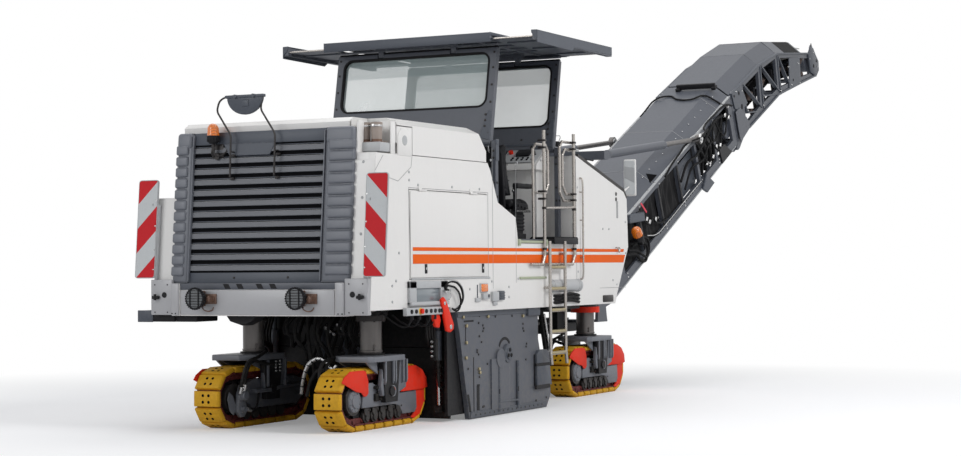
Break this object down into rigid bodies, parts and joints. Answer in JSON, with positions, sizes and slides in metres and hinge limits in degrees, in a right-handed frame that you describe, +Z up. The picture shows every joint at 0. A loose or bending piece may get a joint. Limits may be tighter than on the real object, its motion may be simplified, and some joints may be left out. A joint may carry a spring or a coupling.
{
  "type": "cold planer",
  "caption": "Tracked cold planer with a milling drum under the frame, an open platform under a folding canopy and a long folding discharge conveyor.",
  "frame": {"origin": "on the ground under the middle of the machine's whole length, on its centre line", "axes": "+X forward towards the discharge end of the conveyor, +Y to the machine's left, +Z up"},
  "size_m": [15.233, 2.96, 4.8847],
  "materials": {
    "white_paint": "satin",
    "grey_paint": "satin",
    "black_paint": "satin",
    "tube_steel": "satin",
    "rod_chrome": "polished",
    "drum_iron": "rough",
    "rust_steel": "rough",
    "belt_rubber": "matte",
    "track_pads": "satin",
    "seat_cover": "matte",
    "sign_sheet": "gloss",
    "amber_lens": "gloss",
    "black_plastic": "matte",
    "window_glass": "clear"
  },
  "bodies": {
    "chassis": {"main_frame": "black_paint", "rear_bumper": "white_paint", "radiator_grille": "grey_paint", "engine_block": "black_paint", "right_side_body": "white_paint", "left_side_body": "white_paint", "water_tank": "white_paint", "exhaust_pipes": "rust_steel", "operator_platform": "grey_paint", "handrails": "tube_steel", "ladders": "tube_steel", "seat_frames": "black_plastic", "seat_cushions": "seat_cover", "control_consoles": "black_plastic", "warning_signs": "sign_sheet", "mirrors": "black_plastic", "beacons": "amber_lens", "work_lights": "black_plastic", "drum_housing": "black_paint", "scraper_blade": "black_paint", "primary_conveyor": "black_paint", "conveyor_mast": "grey_paint"},
    "engine_hood": {"engine_hood": "white_paint"},
    "right_service_door": {"right_service_door": "white_paint"},
    "left_service_door": {"left_service_door": "white_paint"},
    "milling_drum": {"milling_drum": "drum_iron"},
    "right_side_plate": {"right_side_plate": "grey_paint"},
    "left_side_plate": {"left_side_plate": "grey_paint"},
    "rear_right_track": {"rear_right_track_frame": "black_paint", "rear_right_track": "track_pads"},
    "rear_left_track": {"rear_left_track_frame": "black_paint", "rear_left_track": "track_pads"},
    "front_right_track": {"front_right_track_frame": "black_paint", "front_right_track": "track_pads"},
    "front_left_track": {"front_left_track_frame": "black_paint", "front_left_track": "track_pads"},
    "canopy_rear": {"canopy_rear_wall": "grey_paint", "canopy_rear_glass": "window_glass"},
    "canopy_front": {"canopy_front_wall": "grey_paint", "canopy_front_glass": "window_glass"},
    "canopy_roof": {"canopy_roof": "grey_paint"},
    "right_roof_panel": {"right_roof_panel": "grey_paint"},
    "left_roof_panel": {"left_roof_panel": "grey_paint"},
    "slew_bracket": {"slew_bracket": "grey_paint"},
    "lift_cylinders": {"lift_cylinders": "grey_paint"},
    "lift_rods": {"lift_rods": "rod_chrome"},
    "conveyor_lower": {"conveyor_lower_sides": "grey_paint", "conveyor_lower_belly": "grey_paint", "conveyor_lower_cover": "grey_paint", "conveyor_lower_belt": "belt_rubber"},
    "conveyor_upper": {"conveyor_upper_sides": "grey_paint", "conveyor_upper_rollers": "grey_paint", "conveyor_upper_cover": "grey_paint", "conveyor_upper_belt": "belt_rubber"}
  },
  "joints": [
    {"name": "rear_left_steering", "type": "hinge", "parent": "chassis", "child": "rear_left_track", "pos_m": [-6.55646, 0.64, 1], "axis": [0, 0, 1], "range_deg": [-25, 25]},
    {"name": "rear_right_steering", "type": "hinge", "parent": "chassis", "child": "rear_right_track", "pos_m": [-6.55646, -0.64, 1], "axis": [0, 0, 1], "range_deg": [-25, 25]},
    {"name": "front_left_steering", "type": "hinge", "parent": "chassis", "child": "front_left_track", "pos_m": [-1.68646, 0.64, 1], "axis": [0, 0, 1], "range_deg": [-25, 25]},
    {"name": "front_right_steering", "type": "hinge", "parent": "chassis", "child": "front_right_track", "pos_m": [-1.68646, -0.64, 1], "axis": [0, 0, 1], "range_deg": [-25, 25]},
    {"name": "drum_spin", "type": "hinge", "parent": "chassis", "child": "milling_drum", "pos_m": [-4.87646, 0, 0.53], "axis": [0, 1, 0], "continuous": true},
    {"name": "right_side_plate_lift", "type": "slide", "parent": "chassis", "child": "right_side_plate", "axis": [0, 0, 1], "range_m": [0, 0.25]},
    {"name": "left_side_plate_lift", "type": "slide", "parent": "chassis", "child": "left_side_plate", "axis": [0, 0, 1], "range_m": [0, 0.25]},
    {"name": "hood_hinge", "type": "hinge", "parent": "chassis", "child": "engine_hood", "pos_m": [-5.14146, 0, 2.476], "axis": [0, -1, 0], "range_deg": [-45, 0]},
    {"name": "right_door_hinge", "type": "hinge", "parent": "chassis", "child": "right_service_door", "pos_m": [-5.93146, -1.155, 2.163], "axis": [1, 0, 0], "range_deg": [-100, 0]},
    {"name": "left_door_hinge", "type": "hinge", "parent": "chassis", "child": "left_service_door", "pos_m": [-5.93146, 1.155, 2.163], "axis": [-1, 0, 0], "range_deg": [-100, 0]},
    {"name": "canopy_fold", "type": "hinge", "parent": "chassis", "child": "canopy_rear", "pos_m": [-4.62646, 0, 2.7], "axis": [0, 1, 0], "range_deg": [0, 65]},
    {"name": "canopy_front_pivot", "type": "hinge", "parent": "chassis", "child": "canopy_front", "pos_m": [-3.12646, 0, 2.7], "axis": [0, 1, 0], "range_deg": [0, 65]},
    {"name": "canopy_roof_pivot", "type": "hinge", "parent": "canopy_rear", "child": "canopy_roof", "pos_m": [-4.44042, 0, 3.65709], "axis": [0, 1, 0], "range_deg": [-65, 0]},
    {"name": "right_panel_slide", "type": "slide", "parent": "canopy_roof", "child": "right_roof_panel", "axis": [0, 1, 0], "range_m": [0, 0.43]},
    {"name": "left_panel_slide", "type": "slide", "parent": "canopy_roof", "child": "left_roof_panel", "axis": [0, -1, 0], "range_m": [0, 0.43]},
    {"name": "conveyor_slew", "type": "hinge", "parent": "chassis", "child": "slew_bracket", "pos_m": [-1.10646, 0, 0.9], "axis": [0, 0, 1], "range_deg": [-60, 60]},
    {"name": "conveyor_lift", "type": "hinge", "parent": "slew_bracket", "child": "conveyor_lower", "pos_m": [-1.10646, 0, 1.05], "axis": [0, 1, 0], "range_deg": [-5, 13]},
    {"name": "conveyor_fold", "type": "hinge", "parent": "conveyor_lower", "child": "conveyor_upper", "pos_m": [3.89473, 0, 3.10137], "axis": [0, 1, 0], "range_deg": [0, 165]},
    {"name": "lift_cylinder_pivot", "type": "hinge", "parent": "slew_bracket", "child": "lift_cylinders", "pos_m": [-1.02646, 0, 2.76], "axis": [0, 1, 0], "range_deg": [-7, 15]},
    {"name": "lift_rod_slide", "type": "slide", "parent": "lift_cylinders", "child": "lift_rods", "axis": [0.9936, 0, 0.1127], "range_m": [-0.17, 0.42]}
  ],
  "couplings": [
    {"joint": "rear_right_steering", "follows": "rear_left_steering", "ratio": 1},
    {"joint": "front_right_steering", "follows": "front_left_steering", "ratio": 1},
    {"joint": "canopy_front_pivot", "follows": "canopy_fold", "ratio": 1},
    {"joint": "canopy_roof_pivot", "follows": "canopy_fold", "ratio": -1},
    {"joint": "lift_cylinder_pivot", "follows": "conveyor_lift", "ratio": 1.0405},
    {"joint": "lift_rod_slide", "follows": "conveyor_lift", "m_per_rad": 1.7034}
  ]
}
